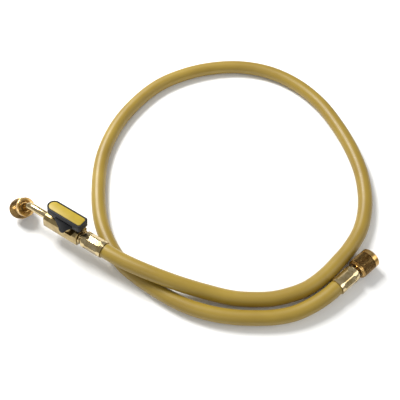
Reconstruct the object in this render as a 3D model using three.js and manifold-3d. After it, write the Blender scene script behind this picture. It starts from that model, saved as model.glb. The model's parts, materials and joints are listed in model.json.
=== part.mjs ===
// A refrigerant charging hose: one rubber hose in a loose loop on the floor,
// with a quarter-turn ball valve on one end and a knurled swivel nut on each end.
// Millimetres, +Z up, floor at Z = 0. X runs along the valve, from its nut to the hose.
import * as THREE from 'three';
import { mergeVertices } from 'three/addons/utils/BufferGeometryUtils.js';
import Module from 'manifold-3d';

const wasm = await Module();
wasm.setup();

// Clearances
const GAP = 0.3;
const RUNNING_GAP = 0.35;

// Hose
const HOSE_RADIUS = 5.75;
const HOSE_BORE_RADIUS = 2.4;
const HOSE_SIDES = 12;
const HOSE_BORE_SIDES = 8;
const HOSE_STEPS = 66;
const HOSE_END_OVERLAP = 0.6;
const HOSE_END_CLEARANCE = 2.3;
const PATH_DIVISIONS = 2000;

// Crimped ferrules, alike at both ends
const FERRULE_RADIUS = 6.6;
const FERRULE_WALL = 1.0;
const FERRULE_LENGTH = 17.5;
const FERRULE_LIP = 1.2;
const FERRULE_RING = 2.4;
const FERRULE_FLATS = 8;
const FERRULE_FLAT_DEPTH = 0.42;

// Hose stems: the barbed tails that the hose is pushed on to
const BARB_RADIUS = 2.1;
const STEM_BORE_RADIUS = 1.2;
const BARB_TAPER = 0.4;
const BARB_TAPER_LENGTH = 1.5;
const STEM_INSET = 0.5;
const STEM_WAIST_RADIUS = 3.1;
const STEM_WAIST_LENGTH = 1.5;

// Valve body: an eight-sided milled block
// A cut runs past the face it opens by CUT_PAST, and a joined piece sinks in by JOIN_DEPTH
const CUT_PAST = 1;
const JOIN_DEPTH = 1;
const BODY_WIDTH = 13;
const BODY_CHAMFER = 2.5;
const BODY_BACK = 19.4;
const BODY_FRONT = 12.2;
const BODY_BORE_RADIUS = 1.8;
const BODY_BOSS_RADIUS = 4.6;
const BODY_BOSS_HEIGHT = 1.6;
const SOCKET_DEPTH = 1.6;
const TUBE_SOCKET_DEPTH = 5;
const POCKET_INNER_RADIUS = 5.8;
const POCKET_OUTER_RADIUS = 9.9;
const POCKET_FLOOR = 3.0;
const POCKET_START = -75;
const POCKET_END = 42;

// Ball and its stem
const BALL_RADIUS = 4.2;
const BALL_BORE_RADIUS = 1.8;
const SPINDLE_RADIUS = 2.0;
const SPINDLE_GRIP = 3;

// Lever
const LEVER_UNDERSIDE = 11.3;
const LEVER_TOP = 17.7;
const LEVER_WIDTH = 10.6;
const LEVER_TAIL = 18.4;
const LEVER_NOSE = 15;
const LEVER_NOSE_CHAMFER = 1.2;
const LEVER_HUB_RADIUS = 5.2;
const LEVER_RIM = 1.0;
const INSERT_THICKNESS = 1.2;
const STOP_TOP_WIDTH = 15;
const STOP_TIP_WIDTH = 5.8;
const STOP_TIP_HEIGHT = 3.4;
const STOP_THICKNESS = 1.6;
const STOP_REACH = 6.5;
const STOP_LEAN = 18;
const STOP_ROOT = 2;

// Bent tube between the valve and its nut
const TUBE_RADIUS = 3.0;
const TUBE_BORE_RADIUS = 1.8;
const TUBE_LEAD = 14.4;
const TUBE_BEND_RADIUS = 10;
const TUBE_BEND_ANGLE = 45;
const TUBE_TAIL = 2.6;
const TUBE_SIDES = 14;
const TUBE_STEPS = 14;

// Swivel nuts with their seats and gaskets
const VALVE_NUT_RADIUS = 8.6;
const VALVE_NUT_LENGTH = 14;
const FAR_NUT_RADIUS = 8.0;
const FAR_NUT_LENGTH = 18;
const NUT_THREAD_RADIUS = 5.55;
const NUT_CHAMFER = 0.9;
const NUT_COLLAR_STEP = 0.9;
const NUT_COLLAR_LENGTH = 1.6;
const NUT_RECESS_DEPTH = 1.4;
const NUT_LIP = 1.8;
const SEAT_RADIUS = 5.2;
const SEAT_LENGTH = 1.8;
const GASKET_RADIUS = 5.0;
const GASKET_HOLE_RADIUS = 1.9;
const GASKET_LENGTH = 1.5;
const SEAT_OVERLAP = 0.5;

// How finely round shapes are divided
const ROUND_SIDES = 28;
const BORE_SIDES = 16;
const BALL_RINGS = 10;
const OUTLINE_SIDES = 16;
const TAB_SIDES = 8;

// Valve neck, between the block and the ferrule
const COLLAR_RADIUS = 5.7;
const COLLAR_LENGTH = 1.5;
const GROOVE_RADIUS = 4.3;
const GROOVE_LENGTH = 1.1;
const NECK_RING_RADIUS = 5.4;
const NECK_RING_LENGTH = 0.9;

// Far neck, between the ferrule and the nut
const FAR_NECK_RADIUS = 4.1;
const FAR_NECK_LENGTH = 3.4;
const FAR_COLLAR_RADIUS = 5.6;
const FAR_COLLAR_LENGTH = 1.4;
const FAR_NECK_CHAMFER = 0.5;

// Where the ends lie on the floor
const VALVE_X = -78.0;
const VALVE_Y = -49.4;
const VALVE_NOSE_DOWN = 0.9;
const VALVE_ROLL = 13;
const FAR_X = 117.2;
const FAR_Y = 21.7;
const FAR_TURN = 72.5;
const STRAIGHT_OUT = 9;

// The hose's route over the floor, from the valve to the far end.
// It leaves the valve over its own last turn and comes down beside it.
const ROUTE = [
  [-22.2, -48.5, 18.0],
  [-0.6, -45.0, 16.5],
  [20.1, -39.3, 12.3],
  [40.5, -32.1, 8.0],
  [50.5, -28.4, 6.6],
  [60.2, -24.0, 5.9],
  [78.9, -12.4, 5.8],
  [88.9, -2.8, 5.8],
  [98.6, 10.1, 5.8],
  [105.1, 25.9, 5.8],
  [108.7, 41.2, 5.8],
  [111.5, 57.5, 5.8],
  [111.7, 77.5, 5.8],
  [105.5, 100.4, 5.8],
  [92.2, 123.8, 5.8],
  [75.3, 142.7, 5.8],
  [53.1, 160.7, 5.8],
  [28.0, 176.0, 5.8],
  [0.3, 184.8, 5.8],
  [-27.8, 185.5, 5.8],
  [-54.1, 177.3, 5.8],
  [-76.9, 161.7, 5.8],
  [-95.7, 140.4, 5.8],
  [-109.3, 113.7, 5.8],
  [-114.3, 69.5, 5.8],
  [-106.0, 30.5, 5.8],
  [-89.1, 0.0, 5.8],
  [-64.1, -28.5, 5.8],
  [-34.3, -45.9, 5.8],
  [-15.9, -49.8, 5.8],
  [22.5, -50.5, 5.8],
  [45.2, -45.9, 5.8],
  [62.3, -39.1, 5.8],
  [76.0, -31.5, 5.8],
  [88.7, -22.9, 5.8],
  [99.8, -12.5, 6.2],
  [108.4, 0.1, 7.1],
];

// Materials
const brassSatin = new THREE.MeshStandardMaterial({ color: 0xb49a66, roughness: 0.42, metalness: 1 });
const brassBright = new THREE.MeshStandardMaterial({ color: 0xd8b878, roughness: 0.18, metalness: 1 });
const brassKnurled = new THREE.MeshStandardMaterial({ color: 0xa88a50, roughness: 0.38, metalness: 1 });
const hoseRubber = new THREE.MeshStandardMaterial({ color: 0xb59a35, roughness: 0.55, metalness: 0 });
const leverPlastic = new THREE.MeshStandardMaterial({ color: 0x15161a, roughness: 0.4, metalness: 0 });
const insertPlastic = new THREE.MeshStandardMaterial({ color: 0xc6a832, roughness: 0.5, metalness: 0 });
const gasketRubber = new THREE.MeshStandardMaterial({ color: 0x202020, roughness: 0.7, metalness: 0 });

// Closed meshes and joins

// Merges the corners, drops triangles of no area and turns the faces outwards.
function closed(geometry) {
  const bare = geometry.clone();
  bare.deleteAttribute('normal');
  bare.deleteAttribute('uv');
  const merged = mergeVertices(bare, 1e-4);
  const place = merged.attributes.position;
  const corners = [];
  let volume = 0;
  const a = new THREE.Vector3();
  const b = new THREE.Vector3();
  const c = new THREE.Vector3();
  for (let i = 0; i < merged.index.count; i += 3) {
    const [p, q, r] = [0, 1, 2].map((k) => merged.index.getX(i + k));
    if (p === q || q === r || r === p) continue;
    corners.push(p, q, r);
    a.fromBufferAttribute(place, p);
    b.fromBufferAttribute(place, q);
    c.fromBufferAttribute(place, r);
    volume += a.dot(b.cross(c));
  }
  if (volume < 0) corners.reverse();
  merged.setIndex(corners);
  return merged;
}

function toSolid(geometry) {
  const mesh = closed(geometry);
  return new wasm.Manifold(new wasm.Mesh({
    numProp: 3,
    vertProperties: new Float32Array(mesh.attributes.position.array),
    triVerts: new Uint32Array(mesh.index.array),
  }));
}

function toGeometry(solid) {
  const mesh = solid.getMesh();
  const geometry = new THREE.BufferGeometry();
  geometry.setAttribute('position', new THREE.BufferAttribute(mesh.vertProperties, 3));
  geometry.setIndex(new THREE.BufferAttribute(mesh.triVerts, 1));
  geometry.computeVertexNormals();
  return geometry;
}

function joined(base, { plus = [], minus = [] }) {
  let solid = toSolid(base);
  for (const piece of plus) solid = solid.add(toSolid(piece));
  for (const piece of minus) solid = solid.subtract(toSolid(piece));
  return toGeometry(solid);
}

function named(name, geometry, material) {
  const mesh = new THREE.Mesh(closed(geometry), material);
  mesh.name = name;
  return mesh;
}

// Shapes

// Turns a profile of [place along X, radius] pairs about the X axis.
function turned(profile, sides = ROUND_SIDES) {
  const points = profile.map(([along, radius]) => new THREE.Vector2(radius, along));
  return new THREE.LatheGeometry(points, sides).rotateZ(-Math.PI / 2);
}

// A round bar along X, solid to its axis.
function roundBar(start, end, radius, sides = ROUND_SIDES) {
  return turned([[start, 0], [start, radius], [end, radius], [end, 0]], sides);
}

// A ring along X between two radii.
function ring(start, end, inner, outer, sides = ROUND_SIDES) {
  return turned([[start, inner], [end, inner], [end, outer], [start, outer], [start, inner]], sides);
}

function roundPost(bottom, top, radius, sides = ROUND_SIDES) {
  return roundBar(bottom, top, radius, sides).rotateY(-Math.PI / 2);
}

// Extrudes a shape drawn in Y and Z along X.
function prism(shape, start, end) {
  const geometry = new THREE.ExtrudeGeometry(shape, { depth: end - start, bevelEnabled: false });
  const across = new THREE.Vector3(0, 1, 0);
  const up = new THREE.Vector3(0, 0, 1);
  const along = new THREE.Vector3(1, 0, 0);
  geometry.applyMatrix4(new THREE.Matrix4().makeBasis(across, up, along));
  return geometry.translate(start, 0, 0);
}

// Extrudes a shape drawn in X and Y upwards.
function plate(shape, bottom, top, curveSegments = OUTLINE_SIDES) {
  const options = { depth: top - bottom, bevelEnabled: false, curveSegments };
  return new THREE.ExtrudeGeometry(shape, options).translate(0, 0, bottom);
}

function polygon(radius, sides) {
  const corners = [];
  for (let i = 0; i < sides; i += 1) {
    const turn = ((i + 0.5) / sides) * 2 * Math.PI;
    corners.push(new THREE.Vector2(radius * Math.cos(turn), radius * Math.sin(turn)));
  }
  return corners;
}

// Sweeps a round section with a bore along a curve.
function hollowSweep(curve, steps, outer, inner, outerSides, innerSides) {
  const section = new THREE.Shape(polygon(outer, outerSides));
  section.holes.push(new THREE.Path(polygon(inner, innerSides)));
  return new THREE.ExtrudeGeometry(section, { steps, extrudePath: curve, bevelEnabled: false });
}

// Valve body
function bodySection() {
  const half = BODY_WIDTH / 2;
  const cut = half - BODY_CHAMFER;
  return new THREE.Shape([
    new THREE.Vector2(-cut, -half),
    new THREE.Vector2(cut, -half),
    new THREE.Vector2(half, -cut),
    new THREE.Vector2(half, cut),
    new THREE.Vector2(cut, half),
    new THREE.Vector2(-cut, half),
    new THREE.Vector2(-half, cut),
    new THREE.Vector2(-half, -cut),
  ]);
}

// The milled arc in the block's shoulder that the lever's stop swings through.
function stopPocket() {
  const start = THREE.MathUtils.degToRad(POCKET_START);
  const end = THREE.MathUtils.degToRad(POCKET_END);
  const arc = new THREE.Shape();
  arc.absarc(0, 0, POCKET_OUTER_RADIUS, start, end, false);
  arc.absarc(0, 0, POCKET_INNER_RADIUS, end, start, true);
  return plate(arc, POCKET_FLOOR, BODY_WIDTH);
}

function valveBody() {
  const top = BODY_WIDTH / 2;
  const cavityRadius = BALL_RADIUS + GAP;
  const tubeSocket = TUBE_RADIUS + GAP;
  const stemSocket = STEM_WAIST_RADIUS + GAP;
  return joined(prism(bodySection(), -BODY_BACK, BODY_FRONT), {
    plus: [roundPost(top - JOIN_DEPTH, top + BODY_BOSS_HEIGHT, BODY_BOSS_RADIUS)],
    minus: [
      roundBar(-BODY_BACK - CUT_PAST, BODY_FRONT + CUT_PAST, BODY_BORE_RADIUS, BORE_SIDES),
      roundBar(-BODY_BACK - CUT_PAST, -BODY_BACK + TUBE_SOCKET_DEPTH, tubeSocket, BORE_SIDES),
      roundBar(BODY_FRONT - SOCKET_DEPTH, BODY_FRONT + CUT_PAST, stemSocket, BORE_SIDES),
      new THREE.SphereGeometry(cavityRadius, BORE_SIDES, BALL_RINGS),
      roundPost(0, top + BODY_BOSS_HEIGHT + CUT_PAST, SPINDLE_RADIUS + GAP, BORE_SIDES),
      stopPocket(),
    ],
  });
}

// Ball and stem, which turn with the lever
function ballAndStem() {
  return joined(new THREE.SphereGeometry(BALL_RADIUS, BORE_SIDES, BALL_RINGS), {
    plus: [roundPost(BALL_BORE_RADIUS, LEVER_UNDERSIDE + SPINDLE_GRIP, SPINDLE_RADIUS, BORE_SIDES)],
    minus: [roundBar(-BALL_RADIUS - CUT_PAST, BALL_RADIUS + CUT_PAST, BALL_BORE_RADIUS, BORE_SIDES)],
  });
}

// Lever
function leverOutline(inset) {
  const half = LEVER_WIDTH / 2 - inset;
  const nose = LEVER_NOSE - inset;
  const chamfer = LEVER_NOSE_CHAMFER;
  const tailCentre = -(LEVER_TAIL - LEVER_WIDTH / 2);
  const outline = new THREE.Shape();
  outline.moveTo(nose - chamfer, half);
  outline.lineTo(tailCentre, half);
  outline.absarc(tailCentre, 0, half, Math.PI / 2, 1.5 * Math.PI, false);
  outline.lineTo(nose - chamfer, -half);
  outline.lineTo(nose, -half + chamfer);
  outline.lineTo(nose, half - chamfer);
  return outline;
}

// The stop: a tapering tab that hangs from the lever down beside the block.
function leverStop() {
  const height = LEVER_UNDERSIDE - STOP_TIP_HEIGHT;
  const tipRadius = STOP_TIP_WIDTH / 2;
  const face = new THREE.Shape();
  face.moveTo(-STOP_TOP_WIDTH / 2, STOP_ROOT);
  face.lineTo(-STOP_TOP_WIDTH / 2, 0);
  face.lineTo(-tipRadius, tipRadius - height);
  face.absarc(0, tipRadius - height, tipRadius, Math.PI, 2 * Math.PI, false);
  face.lineTo(STOP_TOP_WIDTH / 2, 0);
  face.lineTo(STOP_TOP_WIDTH / 2, STOP_ROOT);
  const options = { depth: STOP_THICKNESS, bevelEnabled: false, curveSegments: TAB_SIDES };
  const stop = new THREE.ExtrudeGeometry(face, options);
  stop.rotateX(Math.PI / 2);
  stop.rotateX(THREE.MathUtils.degToRad(-STOP_LEAN));
  return stop.translate(0, -STOP_REACH + STOP_THICKNESS, LEVER_UNDERSIDE);
}

function lever() {
  const hubBottom = BODY_WIDTH / 2 + BODY_BOSS_HEIGHT + GAP;
  const recessFloor = LEVER_TOP - INSERT_THICKNESS - GAP;
  const spindleTop = LEVER_UNDERSIDE + SPINDLE_GRIP + GAP;
  return joined(plate(leverOutline(0), LEVER_UNDERSIDE, LEVER_TOP), {
    plus: [roundPost(hubBottom, LEVER_UNDERSIDE + JOIN_DEPTH, LEVER_HUB_RADIUS), leverStop()],
    minus: [
      plate(leverOutline(LEVER_RIM), recessFloor, LEVER_TOP + CUT_PAST),
      roundPost(hubBottom - CUT_PAST, spindleTop, SPINDLE_RADIUS + GAP, BORE_SIDES),
    ],
  });
}

function leverInsert() {
  return plate(leverOutline(LEVER_RIM + GAP), LEVER_TOP - INSERT_THICKNESS, LEVER_TOP);
}

// Bent tube: straight, a bend downwards, straight again
class BentPath extends THREE.Curve {
  constructor(lead, radius, degrees, tail) {
    super();
    this.lead = lead;
    this.radius = radius;
    this.angle = THREE.MathUtils.degToRad(degrees);
    this.tail = tail;
  }

  getPoint(t, target = new THREE.Vector3()) {
    const arc = this.radius * this.angle;
    const along = t * (this.lead + arc + this.tail);
    const turn = THREE.MathUtils.clamp((along - this.lead) / this.radius, 0, this.angle);
    const before = Math.min(along, this.lead);
    const after = Math.max(along - this.lead - arc, 0);
    const forward = before + this.radius * Math.sin(turn) + after * Math.cos(turn);
    const down = this.radius * (1 - Math.cos(turn)) + after * Math.sin(turn);
    return target.set(-forward, 0, -down);
  }
}

// Where the tube enters the back of the valve's nut, in the valve's own frame.
const bend = THREE.MathUtils.degToRad(TUBE_BEND_ANGLE);
const visiblePath = new BentPath(TUBE_LEAD, TUBE_BEND_RADIUS, TUBE_BEND_ANGLE, TUBE_TAIL);
const nutBack = visiblePath.getPoint(1).add(new THREE.Vector3(-BODY_BACK, 0, 0));
const seatStart = NUT_RECESS_DEPTH + NUT_LIP + RUNNING_GAP;

// Puts a shape drawn along +X on the tube's slanted end.
function onTubeEnd(geometry) {
  return geometry.rotateY(Math.PI - bend).translate(nutBack.x, nutBack.y, nutBack.z);
}

function bentTube() {
  const insideBody = TUBE_SOCKET_DEPTH - GAP;
  const tail = TUBE_TAIL + seatStart + SEAT_LENGTH;
  const path = new BentPath(insideBody + TUBE_LEAD, TUBE_BEND_RADIUS, TUBE_BEND_ANGLE, tail);
  const tube = hollowSweep(path, TUBE_STEPS, TUBE_RADIUS, TUBE_BORE_RADIUS, TUBE_SIDES, HOSE_BORE_SIDES);
  tube.translate(-BODY_BACK + insideBody, 0, 0);
  const seat = ring(seatStart, seatStart + SEAT_LENGTH, TUBE_RADIUS - SEAT_OVERLAP, SEAT_RADIUS);
  return joined(tube, { plus: [onTubeEnd(seat)] });
}

// Swivel nut, drawn from its back along +X to its mouth
function swivelNut(length, radius) {
  const hole = TUBE_RADIUS + RUNNING_GAP;
  const collar = radius - NUT_COLLAR_STEP;
  const cavity = NUT_RECESS_DEPTH + NUT_LIP;
  return turned([
    [NUT_RECESS_DEPTH, hole],
    [NUT_RECESS_DEPTH, hole + NUT_LIP / 2],
    [0, hole + NUT_LIP],
    [0, collar],
    [NUT_COLLAR_LENGTH, collar],
    [NUT_COLLAR_LENGTH + NUT_CHAMFER, radius],
    [length - NUT_CHAMFER, radius],
    [length, radius - NUT_CHAMFER],
    [length, NUT_THREAD_RADIUS],
    [cavity, NUT_THREAD_RADIUS],
    [cavity, hole],
    [NUT_RECESS_DEPTH, hole],
  ]);
}

function nutGasket() {
  const start = seatStart + SEAT_LENGTH + GAP;
  return ring(start, start + GASKET_LENGTH, GASKET_HOLE_RADIUS, GASKET_RADIUS);
}

// Crimped ferrule, drawn from its hose mouth along +X to its lip
function ferrule() {
  const bore = FERRULE_RADIUS - FERRULE_WALL;
  const lipHole = STEM_WAIST_RADIUS + GAP;
  const lipStart = FERRULE_LENGTH - FERRULE_LIP;
  const shell = turned([
    [0, bore],
    [0, FERRULE_RADIUS],
    [FERRULE_LENGTH, FERRULE_RADIUS],
    [FERRULE_LENGTH, lipHole],
    [lipStart, lipHole],
    [lipStart, bore],
    [0, bore],
  ]);
  const flats = [];
  for (let i = 0; i < FERRULE_FLATS; i += 1) {
    const flatLength = FERRULE_LENGTH - 2 * FERRULE_RING;
    const cutter = new THREE.BoxGeometry(flatLength, FERRULE_RADIUS, FERRULE_WALL);
    cutter.translate(FERRULE_LENGTH / 2, 0, FERRULE_RADIUS - FERRULE_FLAT_DEPTH + FERRULE_WALL / 2);
    flats.push(cutter.rotateX((i / FERRULE_FLATS) * 2 * Math.PI));
  }
  return joined(shell, { minus: flats });
}

// The end of a stem that the hose is pushed on to, from the ferrule's mouth along +X
function stemTail() {
  const lipStart = FERRULE_LENGTH - FERRULE_LIP;
  const shoulder = lipStart - GAP;
  return [
    [STEM_INSET, STEM_BORE_RADIUS],
    [STEM_INSET, BARB_RADIUS - BARB_TAPER],
    [STEM_INSET + BARB_TAPER_LENGTH, BARB_RADIUS],
    [shoulder - STEM_WAIST_LENGTH, BARB_RADIUS],
    [shoulder - STEM_WAIST_LENGTH, STEM_WAIST_RADIUS],
  ];
}

// Stem between the valve's block and its ferrule
function valveHoseStem() {
  const ringStart = FERRULE_LENGTH + GAP;
  const grooveStart = ringStart + NECK_RING_LENGTH;
  const collarStart = grooveStart + GROOVE_LENGTH;
  const collarEnd = collarStart + COLLAR_LENGTH;
  const spigotEnd = collarEnd + SOCKET_DEPTH;
  return turned([
    ...stemTail(),
    [ringStart, STEM_WAIST_RADIUS],
    [ringStart, NECK_RING_RADIUS],
    [grooveStart, NECK_RING_RADIUS],
    [grooveStart, GROOVE_RADIUS],
    [collarStart, GROOVE_RADIUS],
    [collarStart, COLLAR_RADIUS],
    [collarEnd, COLLAR_RADIUS],
    [collarEnd, STEM_WAIST_RADIUS],
    [spigotEnd, STEM_WAIST_RADIUS],
    [spigotEnd, STEM_BORE_RADIUS],
    [STEM_INSET, STEM_BORE_RADIUS],
  ]);
}

// Stem at the far end, with the seat that its nut turns on
function farHoseStem() {
  const collarStart = FERRULE_LENGTH + GAP;
  const collarEnd = collarStart + FAR_COLLAR_LENGTH;
  const nutStart = FERRULE_LENGTH + FAR_NECK_LENGTH;
  const seat = nutStart + seatStart;
  return turned([
    ...stemTail(),
    [collarStart, STEM_WAIST_RADIUS],
    [collarStart, FAR_COLLAR_RADIUS],
    [collarEnd, FAR_COLLAR_RADIUS],
    [collarEnd, FAR_NECK_RADIUS],
    [nutStart - FAR_NECK_CHAMFER, FAR_NECK_RADIUS],
    [nutStart, TUBE_RADIUS],
    [seat, TUBE_RADIUS],
    [seat, SEAT_RADIUS],
    [seat + SEAT_LENGTH, SEAT_RADIUS],
    [seat + SEAT_LENGTH, STEM_BORE_RADIUS],
    [STEM_INSET, STEM_BORE_RADIUS],
  ]);
}

// Assembly

// The neck's length sets where the valve's ferrule starts.
const neckLength = GAP + NECK_RING_LENGTH + GROOVE_LENGTH + COLLAR_LENGTH + GAP;
const mouthX = BODY_FRONT + neckLength + FERRULE_LENGTH;

// Valve group: X along the bore, Z up the stem, rolled a little about its bore
// and tipped down a little towards the hose
const valve = new THREE.Group();
const roll = THREE.MathUtils.degToRad(-VALVE_ROLL);
const tip = THREE.MathUtils.degToRad(VALVE_NOSE_DOWN);
valve.rotation.set(roll, tip, 0, 'YXZ');

// The valve stands on the edge of its nut's mouth, which sets the height of its bore.
const nutAxis = new THREE.Vector3(-Math.cos(bend), 0, -Math.sin(bend));
const rimCentre = nutBack.clone().addScaledVector(nutAxis, VALVE_NUT_LENGTH - NUT_CHAMFER);
rimCentre.applyQuaternion(valve.quaternion);
nutAxis.applyQuaternion(valve.quaternion);
const rimDrop = VALVE_NUT_RADIUS * Math.hypot(nutAxis.x, nutAxis.y);
valve.position.set(VALVE_X, VALVE_Y, rimDrop - rimCentre.z);

// Shapes drawn from the ferrule's mouth along +X are turned to face the valve.
function onValveMouth(geometry) {
  return geometry.rotateZ(Math.PI).translate(mouthX, 0, 0);
}

valve.add(
  named('valve_body', valveBody(), brassSatin),
  named('ball_and_stem', ballAndStem(), brassSatin),
  named('lever', lever(), leverPlastic),
  named('lever_insert', leverInsert(), insertPlastic),
  named('bent_tube', bentTube(), brassBright),
  named('valve_nut', onTubeEnd(swivelNut(VALVE_NUT_LENGTH, VALVE_NUT_RADIUS)), brassKnurled),
  named('valve_nut_gasket', onTubeEnd(nutGasket()), gasketRubber),
  named('valve_hose_stem', onValveMouth(valveHoseStem()), brassBright),
  named('valve_ferrule', onValveMouth(ferrule()), brassBright),
);

// Far fitting group: X from the ferrule's mouth to the nut's mouth
const farEnd = new THREE.Group();
farEnd.position.set(FAR_X, FAR_Y, FAR_NUT_RADIUS);
farEnd.rotation.z = THREE.MathUtils.degToRad(FAR_TURN);
const farNutBack = FERRULE_LENGTH + FAR_NECK_LENGTH;
farEnd.add(
  named('far_ferrule', ferrule(), brassBright),
  named('far_hose_stem', farHoseStem(), brassBright),
  named('far_nut', swivelNut(FAR_NUT_LENGTH, FAR_NUT_RADIUS).translate(farNutBack, 0, 0), brassKnurled),
  named('far_nut_gasket', nutGasket().translate(farNutBack, 0, 0), gasketRubber),
);

// Hose: straight out of both ferrules, on the route between them
function hose() {
  valve.updateMatrix();
  farEnd.updateMatrix();
  const valvePoint = (x) => new THREE.Vector3(x, 0, 0).applyMatrix4(valve.matrix);
  const farPoint = (x) => new THREE.Vector3(x, 0, 0).applyMatrix4(farEnd.matrix);
  const path = new THREE.CatmullRomCurve3([
    valvePoint(mouthX + GAP),
    valvePoint(mouthX + STRAIGHT_OUT),
    ...ROUTE.map((point) => new THREE.Vector3(...point)),
    farPoint(-STRAIGHT_OUT),
    farPoint(-GAP),
  ], false, 'centripetal');
  path.arcLengthDivisions = PATH_DIVISIONS;
  const sides = [HOSE_SIDES, HOSE_BORE_SIDES];
  const tube = hollowSweep(path, HOSE_STEPS, HOSE_RADIUS, HOSE_BORE_RADIUS, ...sides);
  const crimpedEnd = () => ring(
    -GAP - HOSE_END_OVERLAP,
    FERRULE_LENGTH - FERRULE_LIP - HOSE_END_CLEARANCE,
    BARB_RADIUS + GAP,
    FERRULE_RADIUS - FERRULE_WALL - GAP,
    HOSE_SIDES * 2,
  );
  return joined(tube, {
    plus: [
      onValveMouth(crimpedEnd()).applyMatrix4(valve.matrix),
      crimpedEnd().applyMatrix4(farEnd.matrix),
    ],
  });
}

const part = new THREE.Group();
part.add(valve, farEnd, named('hose', hose(), hoseRubber));

export default part;
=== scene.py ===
"""A refrigerant charging hose: a yellow rubber hose in a loose loop, with a quarter-turn ball valve
on one end and a knurled swivel nut on each end. Metres, +Z up, floor at Z = 0."""
import json
import math

import bpy
from mathutils import Matrix, Vector

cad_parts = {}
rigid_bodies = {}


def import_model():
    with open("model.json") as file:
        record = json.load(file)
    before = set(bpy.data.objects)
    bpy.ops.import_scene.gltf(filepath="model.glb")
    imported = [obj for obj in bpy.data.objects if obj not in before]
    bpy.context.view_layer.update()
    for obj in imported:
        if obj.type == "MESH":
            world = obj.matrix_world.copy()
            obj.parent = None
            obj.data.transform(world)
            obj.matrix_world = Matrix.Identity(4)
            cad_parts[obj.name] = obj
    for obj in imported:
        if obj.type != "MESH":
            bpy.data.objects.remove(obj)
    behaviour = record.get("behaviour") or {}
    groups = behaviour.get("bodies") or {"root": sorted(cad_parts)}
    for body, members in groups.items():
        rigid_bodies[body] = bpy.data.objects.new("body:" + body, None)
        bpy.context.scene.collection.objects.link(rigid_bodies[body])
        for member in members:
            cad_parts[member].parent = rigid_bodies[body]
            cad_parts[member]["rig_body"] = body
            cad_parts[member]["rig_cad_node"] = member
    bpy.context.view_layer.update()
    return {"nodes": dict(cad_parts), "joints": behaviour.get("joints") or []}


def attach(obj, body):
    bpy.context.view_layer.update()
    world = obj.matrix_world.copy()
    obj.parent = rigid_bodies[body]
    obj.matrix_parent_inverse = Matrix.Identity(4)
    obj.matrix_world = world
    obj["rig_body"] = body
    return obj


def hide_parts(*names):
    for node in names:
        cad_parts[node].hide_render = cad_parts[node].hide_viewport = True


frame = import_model()

# Camera
# It looks down on the loop from its front right, about half a metre away, with a lens a little
# longer than a normal one on a square picture.
CAMERA_PLACE = Vector((0.1235, -0.1808, 0.4255))
CAMERA_AIM = Vector((-0.01237, 0.03578, 0.0))
CAMERA_LENS_MM = 54
CAMERA_SENSOR_MM = 36
CAMERA_NEAR = 0.01

bpy.ops.object.camera_add(location=CAMERA_PLACE)
camera = bpy.context.object
camera.rotation_euler = (CAMERA_AIM - CAMERA_PLACE).to_track_quat("-Z", "Y").to_euler()
camera.data.lens = CAMERA_LENS_MM
camera.data.sensor_width = CAMERA_SENSOR_MM
camera.data.clip_start = CAMERA_NEAR
bpy.context.scene.camera = camera

# Hose
# A reinforced rubber hose with a smooth satin cover, cut to length and pushed on to a barbed stem
# at each end. It leaves the valve, makes one loose loop over the floor and passes over itself.
HOSE_RADIUS = 0.00575
HOSE_CRIMPED_RADIUS = 0.0053
HOSE_CRIMPED_LENGTH = 0.0135
HOSE_SHOULDER = 0.0004
HOSE_SIDES = 28
HOSE_SPACING = 0.0022
HOSE_GAP = 0.0003
STRAIGHT_OUT = 0.009
VALVE_MOUTH = 0.0338
FAR_MOUTH = 0.0209
STRAIGHT_UP = Vector((0, 0, 1))
MM = 0.001

# The centre line from the valve's end to the far end, without the straight stretches that leave
# the ferrules.
ROUTE = [
    (-0.0222, -0.0485, 0.0180),
    (-0.0006, -0.0450, 0.0165),
    (0.0201, -0.0393, 0.0123),
    (0.0405, -0.0321, 0.0080),
    (0.0505, -0.0284, 0.0066),
    (0.0602, -0.0240, 0.0059),
    (0.0789, -0.0124, 0.0058),
    (0.0889, -0.0028, 0.0058),
    (0.0986, 0.0101, 0.0058),
    (0.1051, 0.0259, 0.0058),
    (0.1087, 0.0412, 0.0058),
    (0.1115, 0.0575, 0.0058),
    (0.1117, 0.0775, 0.0058),
    (0.1055, 0.1004, 0.0058),
    (0.0922, 0.1238, 0.0058),
    (0.0753, 0.1427, 0.0058),
    (0.0531, 0.1607, 0.0058),
    (0.0280, 0.1760, 0.0058),
    (0.0003, 0.1848, 0.0058),
    (-0.0278, 0.1855, 0.0058),
    (-0.0541, 0.1773, 0.0058),
    (-0.0769, 0.1617, 0.0058),
    (-0.0957, 0.1404, 0.0058),
    (-0.1093, 0.1137, 0.0058),
    (-0.1143, 0.0695, 0.0058),
    (-0.1060, 0.0305, 0.0058),
    (-0.0891, 0.0000, 0.0058),
    (-0.0641, -0.0285, 0.0058),
    (-0.0343, -0.0459, 0.0058),
    (-0.0159, -0.0498, 0.0058),
    (0.0225, -0.0505, 0.0058),
    (0.0452, -0.0459, 0.0058),
    (0.0623, -0.0391, 0.0058),
    (0.0760, -0.0315, 0.0058),
    (0.0887, -0.0229, 0.0058),
    (0.0998, -0.0125, 0.0062),
    (0.1084, 0.0001, 0.0071),
]

joints = {joint["name"]: joint for joint in frame["joints"]}
lever_joint = joints["lever_turn"]
valve_nut_joint = joints["valve_nut_swivel"]
far_nut_joint = joints["far_nut_swivel"]

# The valve's own frame: X along its bore towards the hose, Z up its lever's stem.
valve_up = Vector(lever_joint["axis"])
valve_along = Vector((valve_up.z, 0, -valve_up.x)).normalized()
valve_across = valve_up.cross(valve_along)
valve_place = Matrix((valve_along, valve_across, valve_up)).transposed().to_4x4()
valve_place.translation = Vector(lever_joint["pos_m"])


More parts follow.
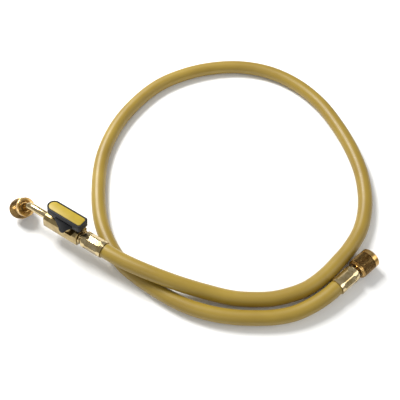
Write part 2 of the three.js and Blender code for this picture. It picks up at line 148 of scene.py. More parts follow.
def facing(start, direction):
    """The place of a turned piece whose foot is at start and whose axis points in that direction."""
    place = direction.to_track_quat("Z", "Y").to_matrix().to_4x4()
    place.translation = start
    return place


far_along = Vector(far_nut_joint["axis"])
far_nut_back = Vector(far_nut_joint["pos_m"])
valve_mouth = valve_place @ Vector((VALVE_MOUTH, 0, 0))
far_mouth = far_nut_back - far_along * FAR_MOUTH


def smooth_route(corners):
    """Points about HOSE_SPACING apart on one smooth curve through all the corners."""
    first = corners[0] * 2 - corners[1]
    last = corners[-1] * 2 - corners[-2]
    padded = [first, *corners, last]
    points = [corners[0]]
    for before, start, end, after in zip(padded, padded[1:], padded[2:], padded[3:]):
        lead = (start - before).length ** 0.5
        span = (end - start).length ** 0.5
        tail = (after - end).length ** 0.5
        leaving = (start - before) / lead - (end - before) / (lead + span) + (end - start) / span
        arriving = (end - start) / span - (after - start) / (span + tail) + (after - end) / tail
        leaving *= span
        arriving *= span
        steps = max(2, round((end - start).length / HOSE_SPACING))
        for step in range(1, steps + 1):
            t = step / steps
            points.append(
                start * (2 * t**3 - 3 * t**2 + 1)
                + leaving * (t**3 - 2 * t**2 + t)
                + end * (3 * t**2 - 2 * t**3)
                + arriving * (t**3 - t**2)
            )
    return points


valve_exit = valve_mouth + valve_along * HOSE_GAP
far_exit = far_mouth - far_along * HOSE_GAP
free_line = smooth_route([
    valve_exit,
    valve_exit + valve_along * (STRAIGHT_OUT - HOSE_GAP),
    *[Vector(corner) for corner in ROUTE],
    far_exit - far_along * (STRAIGHT_OUT - HOSE_GAP),
    far_exit,
])

# Each ring of the hose: its centre and its radius. The crimped ends are a little thinner.
rings = [
    (valve_exit - valve_along * HOSE_CRIMPED_LENGTH, HOSE_CRIMPED_RADIUS),
    (valve_exit - valve_along * HOSE_SHOULDER, HOSE_CRIMPED_RADIUS),
    *[(point, HOSE_RADIUS) for point in free_line],
    (far_exit + far_along * HOSE_SHOULDER, HOSE_CRIMPED_RADIUS),
    (far_exit + far_along * HOSE_CRIMPED_LENGTH, HOSE_CRIMPED_RADIUS),
]
hose_line = [centre for centre, radius in rings]
corners, distances = [], []
travelled = 0
for index, (centre, radius) in enumerate(rings):
    before = hose_line[max(index - 1, 0)]
    after = hose_line[min(index + 1, len(rings) - 1)]
    onward = (after - before).normalized()
    sideways = onward.cross(STRAIGHT_UP).normalized()
    upward = sideways.cross(onward)
    travelled += (centre - before).length
    for side in range(HOSE_SIDES):
        turn = side / HOSE_SIDES * 2 * math.pi
        corners.append(centre + (sideways * math.cos(turn) + upward * math.sin(turn)) * radius)
    distances.append(travelled)
faces, face_uvs = [], []
circumference = 2 * math.pi * HOSE_RADIUS
for index in range(len(rings) - 1):
    for side in range(HOSE_SIDES):
        here = index * HOSE_SIDES
        there = here + HOSE_SIDES
        following = (side + 1) % HOSE_SIDES
        faces.append((here + side, there + side, there + following, here + following))
        left = side / HOSE_SIDES * circumference
        right = (side + 1) / HOSE_SIDES * circumference
        near, far = distances[index], distances[index + 1]
        face_uvs += [(left, near), (left, far), (right, far), (right, near)]
last_ring = (len(rings) - 1) * HOSE_SIDES
for cap in (range(HOSE_SIDES), reversed(range(last_ring, last_ring + HOSE_SIDES))):
    faces.append(tuple(cap))
    face_uvs += [(0, 0)] * HOSE_SIDES
hose_mesh = bpy.data.meshes.new("hose_cover")
hose_mesh.from_pydata(corners, [], faces)
uv_map = hose_mesh.uv_layers.new(name="around_and_along")
for corner, place in zip(uv_map.data, face_uvs):
    corner.uv = place
hose = bpy.data.objects.new("hose_cover", hose_mesh)
bpy.context.collection.objects.link(hose)


def only(piece):
    """Selects this piece and nothing else."""
    bpy.ops.object.select_all(action="DESELECT")
    piece.select_set(True)
    bpy.context.view_layer.objects.active = piece


SMOOTH_ANGLE = math.radians(32)
only(hose)
bpy.ops.object.shade_smooth_by_angle(angle=SMOOTH_ANGLE)


def linear(colour):
    """An sRGB hex colour as linear red, green, blue and alpha."""
    values = [int(colour[i:i + 2], 16) / 255 for i in (1, 3, 5)]
    return [v / 12.92 if v <= 0.04045 else ((v + 0.055) / 1.055) ** 2.4 for v in values] + [1]


def add(tree, kind, settings=(), links=()):
    """Adds a node to a material, with its settings and the sockets that feed it."""
    made = tree.nodes.new(kind)
    for name, value in dict(settings).items():
        if hasattr(made, name):
            setattr(made, name, value)
        else:
            made.inputs[name].default_value = value
    for name, socket in dict(links).items():
        tree.links.new(socket, made.inputs[name])
    return made


def surface(name, metallic, roughness):
    """A new material with its shader."""
    material = bpy.data.materials.new(name)
    material.use_nodes = True
    tree = material.node_tree
    shader = tree.nodes["Principled BSDF"]
    shader.inputs["Metallic"].default_value = metallic
    shader.inputs["Roughness"].default_value = roughness
    return material, tree, shader


def between(tree, factor, low, high, dark, light):
    """A colour that goes from dark to light as the factor goes from low to high."""
    ramp = add(tree, "ShaderNodeValToRGB", links={"Fac": factor})
    for stop, place, colour in zip(ramp.color_ramp.elements, (low, high), (dark, light)):
        stop.position = place
        stop.color = linear(colour)
    return ramp.outputs["Color"]


# Satin rubber cover: dusty yellow, rubbed lighter in places, with the faint crossed imprint of
# the cloth that it was wrapped in while it cured. The imprint is finer on the real hose.
HOSE_DARK = "#866D22"
HOSE_LIGHT = "#967D2C"
HOSE_PATCH_MM = 35
HOSE_PATCH_SPAN = (0.3, 0.7)
HOSE_GRIME_MM = 6
HOSE_ROUGHNESS = 0.42
HOSE_RUBBED = 0.34
HOSE_DUSTY = 0.52
CLOTH_WEAVE_MM = 1.4
CLOTH_SLANT = math.radians(48)
CLOTH_RELIEF = 0.35
CLOTH_RELIEF_MM = 0.12
SKIN_RELIEF = 0.3
SKIN_RELIEF_MM = 0.1
# A wave texture repeats every 2 pi / 20 of its own unit.
WAVES_PER_UNIT = 20 / (2 * math.pi)
rubber, tree, shader = surface("yellow_rubber_cured_in_cloth", 0, HOSE_ROUGHNESS)
uv = add(tree, "ShaderNodeUVMap", {"uv_map": "around_and_along"}).outputs["UV"]
place = add(tree, "ShaderNodeTexCoord").outputs["Object"]
patches = add(
    tree, "ShaderNodeTexNoise", {"Scale": 1 / (HOSE_PATCH_MM * MM), "Detail": 5}, {"Vector": place}
)
cover = between(tree, patches.outputs["Fac"], *HOSE_PATCH_SPAN, HOSE_DARK, HOSE_LIGHT)
tree.links.new(cover, shader.inputs["Base Color"])
grime_and_valley_shade = add(
    tree, "ShaderNodeTexNoise", {"Scale": 1 / (HOSE_GRIME_MM * MM), "Detail": 4}, {"Vector": place}
)
worn = add(
    tree, "ShaderNodeMapRange", {"To Min": HOSE_RUBBED, "To Max": HOSE_DUSTY},
    {"Value": grime_and_valley_shade.outputs["Fac"]},
)
tree.links.new(worn.outputs["Result"], shader.inputs["Roughness"])
bands = []
for slant in (CLOTH_SLANT, -CLOTH_SLANT):
    turned_uv = add(tree, "ShaderNodeMapping", {"Rotation": (0, 0, slant)}, {"Vector": uv})
    bands.append(add(
        tree, "ShaderNodeTexWave", {"Scale": 1 / (WAVES_PER_UNIT * CLOTH_WEAVE_MM * MM)},
        {"Vector": turned_uv.outputs["Vector"]},
    ).outputs["Fac"])
weave = add(tree, "ShaderNodeMath", {"operation": "MULTIPLY"})
for index, band in enumerate(bands):
    tree.links.new(band, weave.inputs[index])
cloth_marks = add(
    tree, "ShaderNodeBump", {"Strength": CLOTH_RELIEF, "Distance": CLOTH_RELIEF_MM * MM},
    {"Height": weave.outputs["Value"]},
)
skin = add(
    tree, "ShaderNodeBump", {"Strength": SKIN_RELIEF, "Distance": SKIN_RELIEF_MM * MM},
    {"Height": grime_and_valley_shade.outputs["Fac"], "Normal": cloth_marks.outputs["Normal"]},
)
tree.links.new(skin.outputs["Normal"], shader.inputs["Normal"])

hose.data.materials.append(rubber)
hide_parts("hose")
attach(hose, "hose_assembly")

# Crimped ferrules
# Thin brass sleeves over the hose's ends, pressed on to it by eight jaws that leave long flats
# with round ends between two plain rings. Bright and a little worn.
FERRULE_RADIUS = 0.0066
FERRULE_BORE = 0.0056
FERRULE_LENGTH = 0.0175
FERRULE_LIP = 0.0012
FERRULE_RING = 0.0024
FERRULE_FLATS = 8
FERRULE_FLAT_RADIUS = 0.00618
FLAT_WIDTH = 0.0043
FLAT_CUTTER_HEIGHT = 0.0018
FLAT_END_RADIUS = 0.48 * FLAT_WIDTH
FLAT_END_SEGMENTS = 8
WAIST_HOLE = 0.0034
CRIMP_ROUNDING = 0.000125
CRIMP_CREASE = math.radians(13)
TURNED_SIDES = 64
WELD = 0.00002


def turned(name, outline, sides=TURNED_SIDES):
    """A piece turned about Z, from the [height, radius] corners of its section, in order."""
    (height, radius), *rest = outline
    bpy.ops.object.select_all(action="DESELECT")
    bpy.ops.mesh.primitive_circle_add(vertices=sides, radius=radius, location=(0, 0, height))
    piece = bpy.context.object
    piece.name = name
    bpy.ops.object.transform_apply(location=True)
    bpy.ops.object.mode_set(mode="EDIT")
    bpy.ops.mesh.select_all(action="SELECT")
    for next_height, next_radius in rest:
        rise = (0, 0, next_height - height)
        bpy.ops.mesh.extrude_region_move(TRANSFORM_OT_translate={"value": rise})
        spread = next_radius / radius
        bpy.ops.transform.resize(value=(spread, spread, 1), center_override=(0, 0, 0))
        height, radius = next_height, next_radius
    bpy.ops.mesh.select_all(action="SELECT")
    bpy.ops.mesh.remove_doubles(threshold=WELD)
    bpy.ops.mesh.normals_make_consistent(inside=False)
    bpy.ops.object.mode_set(mode="OBJECT")
    return piece


def apply_modifier(piece, kind, **settings):
    """Adds a modifier with its settings and applies it."""
    only(piece)
    modifier = piece.modifiers.new(kind.lower(), kind)
    for name, value in settings.items():
        setattr(modifier, name, value)
    bpy.ops.object.modifier_apply(modifier=modifier.name)


def rounded(piece, width, smooth=SMOOTH_ANGLE):
    """Breaks the sharp edges, as tumbling does, and smooths the round faces."""
    apply_modifier(
        piece, "BEVEL", width=width, segments=2, limit_method="ANGLE", angle_limit=SMOOTH_ANGLE
    )
    bpy.ops.object.shade_smooth_by_angle(angle=smooth)


def fitted(piece, place, node, body, material):
    """Puts a finished piece in its place, with its material, instead of a CAD node."""
    only(piece)
    piece.matrix_world = place
    bpy.ops.object.transform_apply(location=True, rotation=True, scale=True)
    piece.data.materials.clear()
    piece.data.materials.append(material)
    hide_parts(node)
    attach(piece, body)
    return piece


def select_by(piece, kind):
    """Gets a piece ready for its corners or edges to be selected in code: nothing is selected yet."""
    bpy.context.tool_settings.mesh_select_mode = (kind == "VERT", kind == "EDGE", False)
    for group in (piece.data.vertices, piece.data.edges, piece.data.polygons):
        group.foreach_set("select", [False] * len(group))


def crimped_ferrule(name):
    """A ferrule along Z from its hose mouth, with one cut for each jaw of the crimping tool."""
    sleeve = turned(name, [
        (0, FERRULE_BORE),
        (0, FERRULE_RADIUS),
        (FERRULE_LENGTH, FERRULE_RADIUS),
        (FERRULE_LENGTH, WAIST_HOLE),
        (FERRULE_LENGTH - FERRULE_LIP, WAIST_HOLE),
        (FERRULE_LENGTH - FERRULE_LIP, FERRULE_BORE),
        (0, FERRULE_BORE),
    ])
    flat_length = FERRULE_LENGTH - 2 * FERRULE_RING
    bpy.ops.object.select_all(action="DESELECT")
    bpy.ops.mesh.primitive_cube_add(
        size=1, location=(FERRULE_FLAT_RADIUS + FLAT_CUTTER_HEIGHT / 2, 0, FERRULE_LENGTH / 2),
        scale=(FLAT_CUTTER_HEIGHT, FLAT_WIDTH, flat_length),
    )
    jaw = bpy.context.object
    bpy.ops.object.transform_apply(location=True, rotation=True, scale=True)
    select_by(jaw, "EDGE")
    for edge in jaw.data.edges:
        start, end = (jaw.data.vertices[i].co for i in edge.vertices)
        edge.select = abs(start.x - end.x) > FLAT_CUTTER_HEIGHT / 2
    bpy.ops.object.mode_set(mode="EDIT")
    bpy.ops.mesh.bevel(offset=FLAT_END_RADIUS, segments=FLAT_END_SEGMENTS)
    bpy.ops.object.mode_set(mode="OBJECT")
    for index in range(FERRULE_FLATS):
        jaw.matrix_world = Matrix.Rotation(index / FERRULE_FLATS * 2 * math.pi, 4, "Z")
        bpy.context.view_layer.update()
        apply_modifier(sleeve, "BOOLEAN", operation="DIFFERENCE", object=jaw, solver="EXACT")
    bpy.data.objects.remove(jaw)
    rounded(sleeve, CRIMP_ROUNDING, CRIMP_CREASE)
    return sleeve


TARNISH_SPAN = (0.32, 0.68)
BRASS_SHINIER = 0.75
BRASS_DULLER = 1.3
TOOL_MARK_RELIEF = 0.25
TOOL_MARK_DEPTH_MM = 0.05


def brass(name, dark, light, roughness, blotch, tooling, grime_and_valley_shade=None):
    """Brass with a little tarnish in blotches, and fine marks left by the tool, in mm.
    Its last argument, when given, is a dark colour of painted shade, laid where the piece's crest
    attribute is low: in the knurl's valleys."""
    material, tree, shader = surface(name, 1, roughness)
    place = add(tree, "ShaderNodeTexCoord").outputs["Object"]
    tarnish = add(
        tree, "ShaderNodeTexNoise", {"Scale": 1 / (blotch * MM), "Detail": 6}, {"Vector": place}
    )
    colour = between(tree, tarnish.outputs["Fac"], *TARNISH_SPAN, dark, light)
    # Painted shade: a dark colour mixed in where the crest attribute is low, in the knurl's valleys.
    if grime_and_valley_shade:
        crest = add(tree, "ShaderNodeAttribute", {"attribute_name": "crest"})
        valley_shading = add(tree, "ShaderNodeMix", {"data_type": "RGBA"})
        # The colour sockets share their names with the other kinds, so they go by number.
        valley_shade_colour, unshaded_colour, shown = valley_shading.inputs[6], valley_shading.inputs[7], valley_shading.outputs[2]
        valley_shade_colour.default_value = linear(grime_and_valley_shade)
        tree.links.new(crest.outputs["Fac"], valley_shading.inputs[0])
        tree.links.new(colour, unshaded_colour)
        colour = shown
    tree.links.new(colour, shader.inputs["Base Color"])
    marks = add(
        tree, "ShaderNodeTexNoise", {"Scale": 1 / (tooling * MM), "Detail": 3}, {"Vector": place}
    )
    gloss = add(
        tree, "ShaderNodeMapRange",
        {"To Min": roughness * BRASS_SHINIER, "To Max": roughness * BRASS_DULLER},
        {"Value": marks.outputs["Fac"]},
    )
    tree.links.new(gloss.outputs["Result"], shader.inputs["Roughness"])
    relief = add(
        tree, "ShaderNodeBump",
        {"Strength": TOOL_MARK_RELIEF, "Distance": TOOL_MARK_DEPTH_MM * MM},
        {"Height": marks.outputs["Fac"]},
    )
    tree.links.new(relief.outputs["Normal"], shader.inputs["Normal"])
    return material


# Free-cutting brass, turned and left bright: pale gold, with sharp highlights.
bright_brass = brass(
    "free_cutting_brass_turned_bright", dark="#AE9868", light="#D2C098", roughness=0.17,
    blotch=5, tooling=0.7,
)

valve_ferrule_place = facing(valve_mouth, -valve_along)
far_ferrule_place = facing(far_mouth, far_along)
fitted(
    crimped_ferrule("valve_crimp_sleeve"), valve_ferrule_place,
    "valve_ferrule", "hose_assembly", bright_brass,
)
far_sleeve = fitted(
    crimped_ferrule("far_crimp_sleeve"), far_ferrule_place,
    "far_ferrule", "hose_assembly", bright_brass,
)

# Hose stems
# Turned brass stems with a barbed tail inside the hose. The valve's one shows as a stepped neck
# between sleeve and block, and the far one carries the seat that the far nut turns on.
STEM_INSET = 0.0005
STEM_BORE = 0.0012
BARB_TIP_RADIUS = 0.0017
BARB_RADIUS = 0.0021
BARB_PITCH = 0.0025
BARB_COUNT = 4
BARB_RAMP = 0.8 * BARB_PITCH
STEM_ROUNDING = 0.000175
WAIST_RADIUS = 0.0031
STEM_SHOULDER = 0.016
WAIST_LENGTH = 0.0015
NECK_START = 0.0178
NECK_RING = 0.0054
GROOVE_START = 0.0187
GROOVE_RADIUS = 0.0043
COLLAR_START = 0.0198
COLLAR_RADIUS = 0.0057
COLLAR_END = 0.0213
SPIGOT_END = 0.0229
FAR_COLLAR_RADIUS = 0.0056
FAR_COLLAR_END = 0.0192
FAR_NECK_RADIUS = 0.0041
FAR_NECK_CHAMFER = 0.0005
TUBE_RADIUS = 0.003
SEAT_START = 0.00355
SEAT_LENGTH = 0.0018
SEAT_RADIUS = 0.0052

barbs = []
for index in range(BARB_COUNT):
    foot = STEM_INSET + index * BARB_PITCH
    barbs += [(foot, BARB_TIP_RADIUS), (foot + BARB_RAMP, BARB_RADIUS)]
stem_tail = [
    (STEM_INSET, STEM_BORE),
    *barbs,
    (STEM_SHOULDER - WAIST_LENGTH, BARB_RADIUS),
    (STEM_SHOULDER - WAIST_LENGTH, WAIST_RADIUS),
]
valve_stem = turned("valve_neck", [
    *stem_tail,
    (NECK_START, WAIST_RADIUS),
    (NECK_START, NECK_RING),
    (GROOVE_START, NECK_RING),
    (GROOVE_START, GROOVE_RADIUS),
    (COLLAR_START, GROOVE_RADIUS),
    (COLLAR_START, COLLAR_RADIUS),
    (COLLAR_END, COLLAR_RADIUS),
    (COLLAR_END, WAIST_RADIUS),
    (SPIGOT_END, WAIST_RADIUS),
    (SPIGOT_END, STEM_BORE),
    (STEM_INSET, STEM_BORE),
])
rounded(valve_stem, STEM_ROUNDING)
fitted(
    valve_stem, valve_ferrule_place, "valve_hose_stem", "hose_assembly", bright_brass
)
far_seat = FAR_MOUTH + SEAT_START
far_stem = turned("far_neck", [
    *stem_tail,
    (NECK_START, WAIST_RADIUS),
    (NECK_START, FAR_COLLAR_RADIUS),
    (FAR_COLLAR_END, FAR_COLLAR_RADIUS),
    (FAR_COLLAR_END, FAR_NECK_RADIUS),
    (FAR_MOUTH - FAR_NECK_CHAMFER, FAR_NECK_RADIUS),
    (FAR_MOUTH, TUBE_RADIUS),
    (far_seat, TUBE_RADIUS),
    (far_seat, SEAT_RADIUS),
    (far_seat + SEAT_LENGTH, SEAT_RADIUS),
    (far_seat + SEAT_LENGTH, STEM_BORE),
    (STEM_INSET, STEM_BORE),
])
rounded(far_stem, STEM_ROUNDING)
fitted(far_stem, far_ferrule_place, "far_hose_stem", "hose_assembly", bright_brass)

# Valve block
# A square brass block with milled corners, bored through for the ball and the two necks. The boss
# round the lever's stem and the arc that the lever's stop swings in are cut from the same piece.
BLOCK_ROUNDING = 0.0004
FLAT_ANGLE = math.radians(1)
FINE_WELD = 0.0000025


def softened(node, name, width):
    """A copy of a CAD node whose sharp edges are broken to that width."""
    only(frame["nodes"][node])
    bpy.ops.object.duplicate()
    piece = bpy.context.object
    piece.name = name
    piece.parent = None
    # The copy is a piece of its own, so it drops the labels of the CAD node.
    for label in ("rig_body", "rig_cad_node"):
        del piece[label]
    only(piece)
    bpy.ops.mesh.customdata_custom_splitnormals_clear()
    bpy.ops.object.mode_set(mode="EDIT")
    bpy.ops.mesh.select_all(action="SELECT")
    bpy.ops.mesh.remove_doubles(threshold=FINE_WELD)
    bpy.ops.mesh.dissolve_limited(angle_limit=FLAT_ANGLE)
    bpy.ops.object.mode_set(mode="OBJECT")
    rounded(piece, width)
    return piece


# Forged brass, tumbled after milling: satin, darker than the turned pieces.
satin_brass = brass(
    "forged_brass_tumbled_satin", dark="#8E7A50", light="#AE9A6C", roughness=0.32,
    blotch=7, tooling=0.5,
)
as_it_lies = Matrix.Identity(4)
fitted(
    softened("valve_body", "valve_block", BLOCK_ROUNDING), as_it_lies,
    "valve_body", "hose_assembly", satin_brass,
)

# Ball and its stem
# One turned piece in the block: a drilled ball that opens and shuts the bore, and the stem that
# carries the lever. Only the drilled hole shows, along the bore.
BALL_ROUNDING = 0.000125
fitted(
    softened("ball_and_stem", "drilled_ball", BALL_ROUNDING), as_it_lies,
    "ball_and_stem", "lever", satin_brass,
)

# Lever
# A moulded black handle with a deep skirt, round towards the nut and square towards the hose. Its
# stop is a tapering tab that hangs down beside the block. It is pressed on the ball's stem.
LEVER_ROUNDING = 0.0005
LEVER_SPECULAR = 0.22
FLOW_MARK_MM = 8
FLOW_MARK_SPAN = (0.35, 0.65)
GRAIN_RELIEF = 0.2
GRAIN_DEPTH_MM = 0.06


def moulded(name, dark, light, roughness, grain):
    """Moulded plastic or rubber with faint flow marks and a fine eroded grain, in mm."""
    material, tree, shader = surface(name, 0, roughness)
    place = add(tree, "ShaderNodeTexCoord").outputs["Object"]
    flow = add(
        tree, "ShaderNodeTexNoise", {"Scale": 1 / (FLOW_MARK_MM * MM), "Detail": 3},
        {"Vector": place},
    )
    colour = between(tree, flow.outputs["Fac"], *FLOW_MARK_SPAN, dark, light)
    tree.links.new(colour, shader.inputs["Base Color"])
    pits = add(
        tree, "ShaderNodeTexNoise", {"Scale": 1 / (grain * MM), "Detail": 2}, {"Vector": place}
    )
    relief = add(
        tree, "ShaderNodeBump", {"Strength": GRAIN_RELIEF, "Distance": GRAIN_DEPTH_MM * MM},
        {"Height": pits.outputs["Fac"]},
    )
    tree.links.new(relief.outputs["Normal"], shader.inputs["Normal"])
    return material


# Glass-filled nylon, moulded in an eroded tool: near black, a little blue, half gloss.
black_nylon = moulded(
    "nylon_moulded_black", dark="#05060A", light="#0A0C11", roughness=0.45, grain=0.5
)
nylon_shader = black_nylon.node_tree.nodes["Principled BSDF"]
nylon_shader.inputs["Specular IOR Level"].default_value = LEVER_SPECULAR
fitted(
    softened("lever", "lever_handle", LEVER_ROUNDING), as_it_lies,
    "lever", "lever", black_nylon,
)

# Lever's insert
# A yellow plate moulded to fill the handle's recess, pressed in so that a thin black rim is left.
# ABS, moulded in an eroded tool: a flat, slightly greenish yellow with hardly any shine.
PLATE_ROUNDING = 0.00025
yellow_abs = moulded(
    "abs_moulded_yellow", dark="#9C8418", light="#A68E22", roughness=0.5, grain=0.5
)
fitted(
    softened("lever_insert", "lever_plate", PLATE_ROUNDING), as_it_lies,
    "lever_insert", "lever", yellow_abs,
)

# Bent tube
# A drawn brass tube soldered in the block's back. It bends down towards the nut and ends in the
# turned seat that the nut pulls against the port.
TUBE_START = -0.0147
TUBE_STRAIGHT = 0.0191
TUBE_BEND_RADIUS = 0.01
TUBE_BEND = math.radians(45)
TUBE_TAIL = 0.0026
TUBE_BORE = 0.0018
TUBE_SIDES = 40
TUBE_BEND_STEPS = 14
TUBE_ROUNDING = 0.000125

bpy.ops.object.select_all(action="DESELECT")
bpy.ops.mesh.primitive_circle_add(
    vertices=TUBE_SIDES, radius=TUBE_RADIUS, location=(TUBE_START, 0, 0), rotation=(0, math.pi / 2, 0)
)
elbow = bpy.context.object
elbow.name = "elbow_tube"
bpy.ops.object.transform_apply(location=True, rotation=True, scale=True)
bend_centre = Vector((TUBE_START - TUBE_STRAIGHT, 0, -TUBE_BEND_RADIUS))
slanting = Vector((-math.cos(TUBE_BEND), 0, -math.sin(TUBE_BEND)))
outwards = Vector((-math.sin(TUBE_BEND), 0, math.cos(TUBE_BEND)))
seat_foot = bend_centre + outwards * TUBE_BEND_RADIUS + slanting * (TUBE_TAIL + SEAT_START)
seat_face = seat_foot + slanting * SEAT_LENGTH


def extruded(move):
    """Extrudes the selected ring of the tube by a move."""
    bpy.ops.mesh.extrude_region_move(TRANSFORM_OT_translate={"value": move})


def stepped(centre, before, after):
    """Extrudes the selected ring where it is, about its centre, from one radius to another."""
    extruded((0, 0, 0))
    spread = after / before
    bpy.ops.transform.resize(value=(spread, spread, spread), center_override=centre)


# The outside down to the seat's face, then the bore back up to the start.
bpy.ops.object.mode_set(mode="EDIT")
bpy.ops.mesh.select_all(action="SELECT")
extruded((-TUBE_STRAIGHT, 0, 0))
bpy.ops.mesh.spin(steps=TUBE_BEND_STEPS, angle=TUBE_BEND, center=bend_centre, axis=(0, 1, 0))
extruded(slanting * (TUBE_TAIL + SEAT_START))
stepped(seat_foot, TUBE_RADIUS, SEAT_RADIUS)
extruded(slanting * SEAT_LENGTH)
stepped(seat_face, SEAT_RADIUS, TUBE_BORE)
extruded(slanting * -(TUBE_TAIL + SEAT_START + SEAT_LENGTH))
bpy.ops.mesh.spin(steps=TUBE_BEND_STEPS, angle=-TUBE_BEND, center=bend_centre, axis=(0, 1, 0))
extruded((TUBE_STRAIGHT, 0, 0))
bpy.ops.mesh.select_all(action="SELECT")
bpy.ops.mesh.remove_doubles(threshold=FINE_WELD)
bpy.ops.mesh.select_all(action="DESELECT")
bpy.ops.mesh.select_non_manifold()
bpy.ops.mesh.bridge_edge_loops()
bpy.ops.mesh.select_all(action="SELECT")
bpy.ops.mesh.normals_make_consistent(inside=False)
bpy.ops.object.mode_set(mode="OBJECT")
rounded(elbow, TUBE_ROUNDING)
fitted(elbow, valve_place, "bent_tube", "hose_assembly", bright_brass)

# Swivel nuts
# Turned brass nuts, knurled all round so that they can be tightened by hand. They turn freely
# behind their seats. The thread inside is hidden in use and drawn as plain rings.
VALVE_NUT_RADIUS = 0.0086
VALVE_NUT_LENGTH = 0.014
FAR_NUT_RADIUS = 0.008
FAR_NUT_LENGTH = 0.018
VALVE_KNURL = (0.0028, 0.0127)
FAR_KNURL = (0.0020, 0.0134)
VALVE_NUT_DOME = 0.0007
KNURL_PITCH = 0.0015
KNURL_DEPTH = 0.0005
NUT_HOLE = 0.00335
NUT_RECESS = 0.0014
NUT_LIP = 0.0018
NUT_CAVITY = 0.0032
NUT_COLLAR_STEP = 0.0009
NUT_CHAMFER = 0.0009
NUT_BROKEN_EDGE = 0.0001
NUT_FACE_EASE = 0.0002
NUT_COLLAR_EASE = 0.0003
NUT_COLLAR_BACK = 0.0010
NUT_SHOULDER_BACK = 0.0007
THREAD_LEAD_IN = 0.0005
THREAD_RADIUS = 0.00555
THREAD_CREST = 0.0051
THREAD_PITCH = 0.00127
THREAD_START = 0.0078
# Where the thread's foot, crest and next foot lie, as shares of its pitch.
THREAD_FOOT = 0.1
THREAD_TOP = 0.5
THREAD_NEXT_FOOT = 0.9
ROW_TOLERANCE = 0.01
RADIUS_TOLERANCE = 0.00001


def knurled_nut(name, length, radius, knurl_span, dome=0):
    """A nut from its back at Z = 0 to its mouth, whose knurled barrel swells by dome."""
    knurl_start, knurl_end = knurl_span
    collar = radius - NUT_COLLAR_STEP
    shoulder = radius - dome - NUT_COLLAR_EASE
    rim = radius - dome - NUT_BROKEN_EDGE
    mouth = radius - dome - NUT_CHAMFER
    rows = round((knurl_end - knurl_start) / (KNURL_PITCH / 2) / 2) * 2
    row_height = (knurl_end - knurl_start) / rows
    sides = round(2 * math.pi * radius / KNURL_PITCH / 2) * 4
    valley = radius - KNURL_DEPTH
    knurl = []
    for row in range(rows + 1):
        from_middle = 2 * row / rows - 1
        knurl.append((knurl_start + row * row_height, valley - dome * from_middle**2))
    turns = int((length - NUT_CHAMFER - THREAD_START) / THREAD_PITCH)
    thread = []
    for turn in reversed(range(turns)):
        foot = THREAD_START + turn * THREAD_PITCH
        thread += [
            (foot + THREAD_PITCH * THREAD_NEXT_FOOT, THREAD_RADIUS),
            (foot + THREAD_PITCH * THREAD_TOP, THREAD_CREST),
            (foot + THREAD_PITCH * THREAD_FOOT, THREAD_RADIUS),
        ]
    nut = turned(name, [
        (NUT_RECESS, NUT_HOLE),
        (NUT_RECESS, NUT_HOLE + NUT_LIP / 2),
        (NUT_BROKEN_EDGE, NUT_HOLE + NUT_LIP),
        (0, NUT_HOLE + NUT_LIP + NUT_FACE_EASE),
        (0, collar - NUT_COLLAR_EASE),
        (NUT_COLLAR_EASE, collar),
        (knurl_start - NUT_COLLAR_BACK, collar),
        (knurl_start - NUT_SHOULDER_BACK, shoulder),
        (knurl_start - NUT_BROKEN_EDGE, shoulder),
        *knurl,
        (knurl_end + NUT_BROKEN_EDGE, rim),
        (length - NUT_CHAMFER, rim),
        (length - NUT_BROKEN_EDGE, mouth),
        (length, mouth - NUT_FACE_EASE),
        (length, THREAD_RADIUS + THREAD_LEAD_IN),
        (length - THREAD_LEAD_IN, THREAD_RADIUS),
        *thread,
        (NUT_CAVITY, THREAD_RADIUS),
        (NUT_CAVITY, NUT_HOLE),
        (NUT_RECESS, NUT_HOLE),
    ], sides)
    # Every second corner of the barrel is raised, so that each becomes the tip of a diamond.
    select_by(nut, "VERT")
    # The crest attribute is 0 in the knurl's valleys, where the knurled brass paints shade, and 1
    # elsewhere.
    crests = nut.data.attributes.new("crest", "FLOAT", "POINT")
    for vertex in nut.data.vertices:
        row = (vertex.co.z - knurl_start) / row_height
        side = math.atan2(vertex.co.y, vertex.co.x) / (2 * math.pi) * sides
        on_row = abs(row - round(row)) < ROW_TOLERANCE and 0 < round(row) < rows
        outside = math.hypot(vertex.co.x, vertex.co.y) > valley - dome - RADIUS_TOLERANCE
        vertex.select = on_row and outside and (round(row) + round(side)) % 2 == 0
        on_barrel = -ROW_TOLERANCE < row < rows + ROW_TOLERANCE
        in_valley = outside and on_barrel and not vertex.select
        crests.data[vertex.index].value = 0 if in_valley else 1
    bpy.ops.object.mode_set(mode="EDIT")
    raised = radius / valley
    bpy.ops.transform.resize(value=(raised, raised, 1), center_override=(0, 0, 0))
    bpy.ops.mesh.select_all(action="SELECT")
    bpy.ops.mesh.quads_convert_to_tris(quad_method="SHORTEST_DIAGONAL")
    bpy.ops.object.mode_set(mode="OBJECT")
    only(nut)
    bpy.ops.object.shade_smooth_by_angle(angle=SMOOTH_ANGLE)
    return nut


# Turned brass with a rolled diamond knurl: the crests shine, and the valleys are darkened with
# painted shade.
knurled_brass = brass(
    "brass_rolled_diamond_knurl", dark="#A88248", light="#CBAA70", roughness=0.24,
    blotch=4, tooling=0.4, grime_and_valley_shade="#3E2606",
)
valve_nut_place = facing(Vector(valve_nut_joint["pos_m"]), Vector(valve_nut_joint["axis"]))
far_nut_place = facing(far_nut_back, far_along)
fitted(
    knurled_nut("valve_end_nut", VALVE_NUT_LENGTH, VALVE_NUT_RADIUS, VALVE_KNURL, VALVE_NUT_DOME),
    valve_nut_place, "valve_nut", "valve_nut", knurled_brass,
)
far_nut = fitted(
    knurled_nut("far_end_nut", FAR_NUT_LENGTH, FAR_NUT_RADIUS, FAR_KNURL),
    far_nut_place, "far_nut", "far_nut", knurled_brass,
)

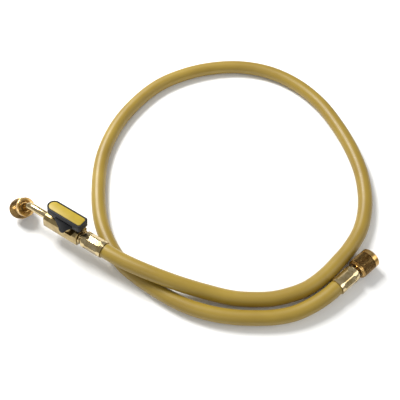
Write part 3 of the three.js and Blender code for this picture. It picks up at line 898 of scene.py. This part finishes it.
# Gaskets
# Flat black rubber washers in front of the seats, held in the nuts' threads by their own grip.
GASKET_START = 0.00565
GASKET_LENGTH = 0.0015
GASKET_HOLE = 0.0019
GASKET_RADIUS = 0.005
GASKET_ROUNDING = 0.00025
# Nitrile rubber, moulded: matt and dark grey, with hardly any shine.
black_rubber = moulded(
    "nitrile_rubber_moulded", dark="#17171A", light="#232326", roughness=0.6, grain=0.3
)


def gasket(name, place, node):
    """A flat washer along Z from its nut's back, put in that nut."""
    washer = turned(name, [
        (GASKET_START, GASKET_HOLE),
        (GASKET_START, GASKET_RADIUS),
        (GASKET_START + GASKET_LENGTH, GASKET_RADIUS),
        (GASKET_START + GASKET_LENGTH, GASKET_HOLE),
        (GASKET_START, GASKET_HOLE),
    ])
    rounded(washer, GASKET_ROUNDING)
    return fitted(washer, place, node, "hose_assembly", black_rubber)


gasket("valve_end_washer", valve_nut_place, "valve_nut_gasket")
far_washer = gasket("far_end_washer", far_nut_place, "far_nut_gasket")

# Floor
# A plain pale sheet of matt paper under the hose, wide enough that its edge stays out of the
# picture from above.
FLOOR_SIZE = 6
PAPER_COLOUR = "#F6F6F4"
PAPER_ROUGHNESS = 0.9
bpy.ops.object.select_all(action="DESELECT")
bpy.ops.mesh.primitive_plane_add(size=FLOOR_SIZE)
floor = bpy.context.object
floor.name = "floor"
paper, tree, shader = surface("matt_white_paper", 0, PAPER_ROUGHNESS)
shader.inputs["Base Color"].default_value = linear(PAPER_COLOUR)
floor.data.materials.append(paper)

# Light
# A large soft box high on the left of the picture, two weaker ones on the right and in front, and
# a bright room. Each has its name, place, width in metres and power in watts.
ROOM_COLOUR = "#FFFFFF"
ROOM_BRIGHTNESS = 0.4
LIGHTS = [
    ("key", (-0.62, 0.20, 0.75), 0.40, 14.0),
    ("fill", (0.75, 0.35, 0.65), 0.5, 2.0),
    ("front", (0.1, -0.9, 0.8), 0.5, 2.0),
]
for name, place, width, power in LIGHTS:
    bpy.ops.object.light_add(type="AREA", location=place)
    light = bpy.context.object
    light.name = name
    light.data.size = width
    light.data.energy = power
    light.rotation_euler = (CAMERA_AIM - Vector(place)).to_track_quat("-Z", "Y").to_euler()
room = bpy.data.worlds.new("bright_room")
room.use_nodes = True
sky = room.node_tree.nodes["Background"]
sky.inputs["Color"].default_value = linear(ROOM_COLOUR)
sky.inputs["Strength"].default_value = ROOM_BRIGHTNESS
bpy.context.scene.world = room
# Colours are shown as they are, without the curve of a film.
bpy.context.scene.view_settings.view_transform = "Standard"
